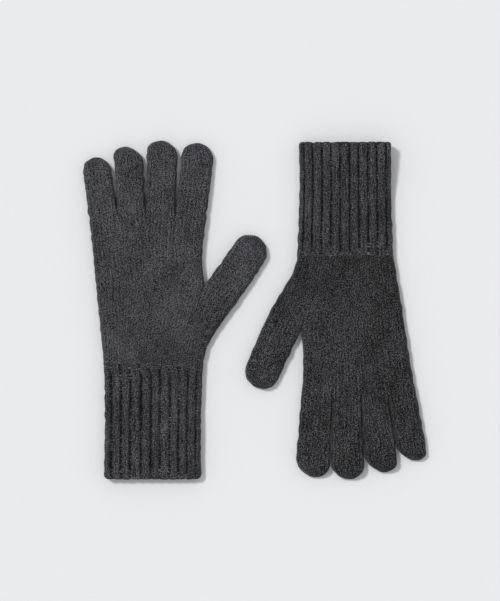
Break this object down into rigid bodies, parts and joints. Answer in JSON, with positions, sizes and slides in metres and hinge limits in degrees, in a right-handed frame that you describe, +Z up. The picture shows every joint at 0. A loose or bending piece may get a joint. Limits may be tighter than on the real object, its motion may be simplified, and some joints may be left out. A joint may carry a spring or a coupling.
{
  "type": "touchscreen gloves",
  "caption": "Pair of long-cuffed knitted touchscreen gloves lying flat beside each other, with ribbed cuffs and fingers that bend at two folds.",
  "frame": {"origin": "centre of the pair's outline, on the surface that both gloves lie on", "axes": "+Z up from the surface; +Y along the left glove's fingers; +X from the left glove to the right glove, whose fingers point to -Y"},
  "size_m": [0.2729, 0.2704, 0.0092],
  "materials": {
    "wool_jersey": "plain-knit charcoal marl wool blend",
    "wool_rib": "rib-knit charcoal marl wool blend",
    "conductive_knit": "plain-knit charcoal yarn with fine conductive fibre"
  },
  "bodies": {
    "left_cuff": {"left_cuff": "wool_rib", "left_cuff_hem": "wool_rib"},
    "left_hand": {"left_hand": "wool_jersey"},
    "left_little_base": {"left_little_base": "wool_jersey"},
    "left_little_end": {"left_little_tip": "wool_jersey"},
    "left_ring_base": {"left_ring_base": "wool_jersey"},
    "left_ring_end": {"left_ring_tip": "wool_jersey"},
    "left_middle_base": {"left_middle_base": "wool_jersey"},
    "left_middle_end": {"left_middle_tip": "wool_jersey"},
    "left_index_base": {"left_index_base": "wool_jersey"},
    "left_index_end": {"left_index_tube": "wool_jersey", "left_index_touch_cap": "conductive_knit"},
    "left_thumb_base": {"left_thumb_base": "wool_jersey"},
    "left_thumb_end": {"left_thumb_tube": "wool_jersey", "left_thumb_touch_cap": "conductive_knit"},
    "right_cuff": {"right_cuff": "wool_rib", "right_cuff_hem": "wool_rib"},
    "right_hand": {"right_hand": "wool_jersey"},
    "right_little_base": {"right_little_base": "wool_jersey"},
    "right_little_end": {"right_little_tip": "wool_jersey"},
    "right_ring_base": {"right_ring_base": "wool_jersey"},
    "right_ring_end": {"right_ring_tip": "wool_jersey"},
    "right_middle_base": {"right_middle_base": "wool_jersey"},
    "right_middle_end": {"right_middle_tip": "wool_jersey"},
    "right_index_base": {"right_index_base": "wool_jersey"},
    "right_index_end": {"right_index_tube": "wool_jersey", "right_index_touch_cap": "conductive_knit"},
    "right_thumb_base": {"right_thumb_base": "wool_jersey"},
    "right_thumb_end": {"right_thumb_tube": "wool_jersey", "right_thumb_touch_cap": "conductive_knit"}
  },
  "joints": [
    {"name": "left_wrist", "type": "hinge", "parent": "left_cuff", "child": "left_hand", "pos_m": [-0.0804, -0.0428, 0.0046], "axis": [1, 0, 0], "range_deg": [0, 60]},
    {"name": "left_little_knuckle", "type": "hinge", "parent": "left_hand", "child": "left_little_base", "pos_m": [-0.1201, 0.0672, 0.0046], "axis": [1, 0, 0], "range_deg": [0, 90]},
    {"name": "left_little_middle", "type": "hinge", "parent": "left_little_base", "child": "left_little_end", "pos_m": [-0.12308, 0.0932, 0.0046], "axis": [1, 0, 0], "range_deg": [0, 90]},
    {"name": "left_ring_knuckle", "type": "hinge", "parent": "left_hand", "child": "left_ring_base", "pos_m": [-0.09785, 0.0672, 0.0046], "axis": [1, 0, 0], "range_deg": [0, 90]},
    {"name": "left_ring_middle", "type": "hinge", "parent": "left_ring_base", "child": "left_ring_end", "pos_m": [-0.09957, 0.0972, 0.0046], "axis": [1, 0, 0], "range_deg": [0, 90]},
    {"name": "left_middle_knuckle", "type": "hinge", "parent": "left_hand", "child": "left_middle_base", "pos_m": [-0.0756, 0.0672, 0.0046], "axis": [1, 0, 0], "range_deg": [0, 90]},
    {"name": "left_middle_middle", "type": "hinge", "parent": "left_middle_base", "child": "left_middle_end", "pos_m": [-0.07457, 0.1002, 0.0046], "axis": [1, 0, 0], "range_deg": [0, 90]},
    {"name": "left_index_knuckle", "type": "hinge", "parent": "left_hand", "child": "left_index_base", "pos_m": [-0.05185, 0.0672, 0.0046], "axis": [1, 0, 0], "range_deg": [0, 90]},
    {"name": "left_index_middle", "type": "hinge", "parent": "left_index_base", "child": "left_index_end", "pos_m": [-0.04878, 0.0982, 0.0046], "axis": [1, 0, 0], "range_deg": [0, 90]},
    {"name": "left_thumb_root", "type": "hinge", "parent": "left_hand", "child": "left_thumb_base", "pos_m": [-0.0284, 0.0112, 0.0046], "axis": [0.809, -0.5878, 0], "range_deg": [0, 60]},
    {"name": "left_thumb_middle", "type": "hinge", "parent": "left_thumb_base", "child": "left_thumb_end", "pos_m": [-0.01253, 0.03304, 0.0046], "axis": [0.809, -0.5878, 0], "range_deg": [0, 80]},
    {"name": "right_wrist", "type": "hinge", "parent": "right_cuff", "child": "right_hand", "pos_m": [0.0735, 0.0431, 0.0046], "axis": [-1, 0, 0], "range_deg": [0, 60]},
    {"name": "right_little_knuckle", "type": "hinge", "parent": "right_hand", "child": "right_little_base", "pos_m": [0.11815, -0.0669, 0.0046], "axis": [-1, 0, 0], "range_deg": [0, 90]},
    {"name": "right_little_middle", "type": "hinge", "parent": "right_little_base", "child": "right_little_end", "pos_m": [0.1223, -0.0929, 0.0046], "axis": [-1, 0, 0], "range_deg": [0, 90]},
    {"name": "right_ring_knuckle", "type": "hinge", "parent": "right_hand", "child": "right_ring_base", "pos_m": [0.0959, -0.0669, 0.0046], "axis": [-1, 0, 0], "range_deg": [0, 90]},
    {"name": "right_ring_middle", "type": "hinge", "parent": "right_ring_base", "child": "right_ring_end", "pos_m": [0.09897, -0.0969, 0.0046], "axis": [-1, 0, 0], "range_deg": [0, 90]},
    {"name": "right_middle_knuckle", "type": "hinge", "parent": "right_hand", "child": "right_middle_base", "pos_m": [0.07365, -0.0669, 0.0046], "axis": [-1, 0, 0], "range_deg": [0, 90]},
    {"name": "right_middle_middle", "type": "hinge", "parent": "right_middle_base", "child": "right_middle_end", "pos_m": [0.0741, -0.0999, 0.0046], "axis": [-1, 0, 0], "range_deg": [0, 90]},
    {"name": "right_index_knuckle", "type": "hinge", "parent": "right_hand", "child": "right_index_base", "pos_m": [0.0499, -0.0669, 0.0046], "axis": [-1, 0, 0], "range_deg": [0, 90]},
    {"name": "right_index_middle", "type": "hinge", "parent": "right_index_base", "child": "right_index_end", "pos_m": [0.04823, -0.0979, 0.0046], "axis": [-1, 0, 0], "range_deg": [0, 90]},
    {"name": "right_thumb_root", "type": "hinge", "parent": "right_hand", "child": "right_thumb_base", "pos_m": [0.02393, -0.0109, 0.0046], "axis": [-0.9026, 0.4305, 0], "range_deg": [0, 60]},
    {"name": "right_thumb_middle", "type": "hinge", "parent": "right_thumb_base", "child": "right_thumb_end", "pos_m": [0.01231, -0.03527, 0.0046], "axis": [-0.9026, 0.4305, 0], "range_deg": [0, 80]},
    {"name": "right_glove_lift", "type": "slide", "parent": "left_cuff", "child": "right_cuff", "axis": [0, 0, 1], "range_m": [0, 0.15]}
  ]
}
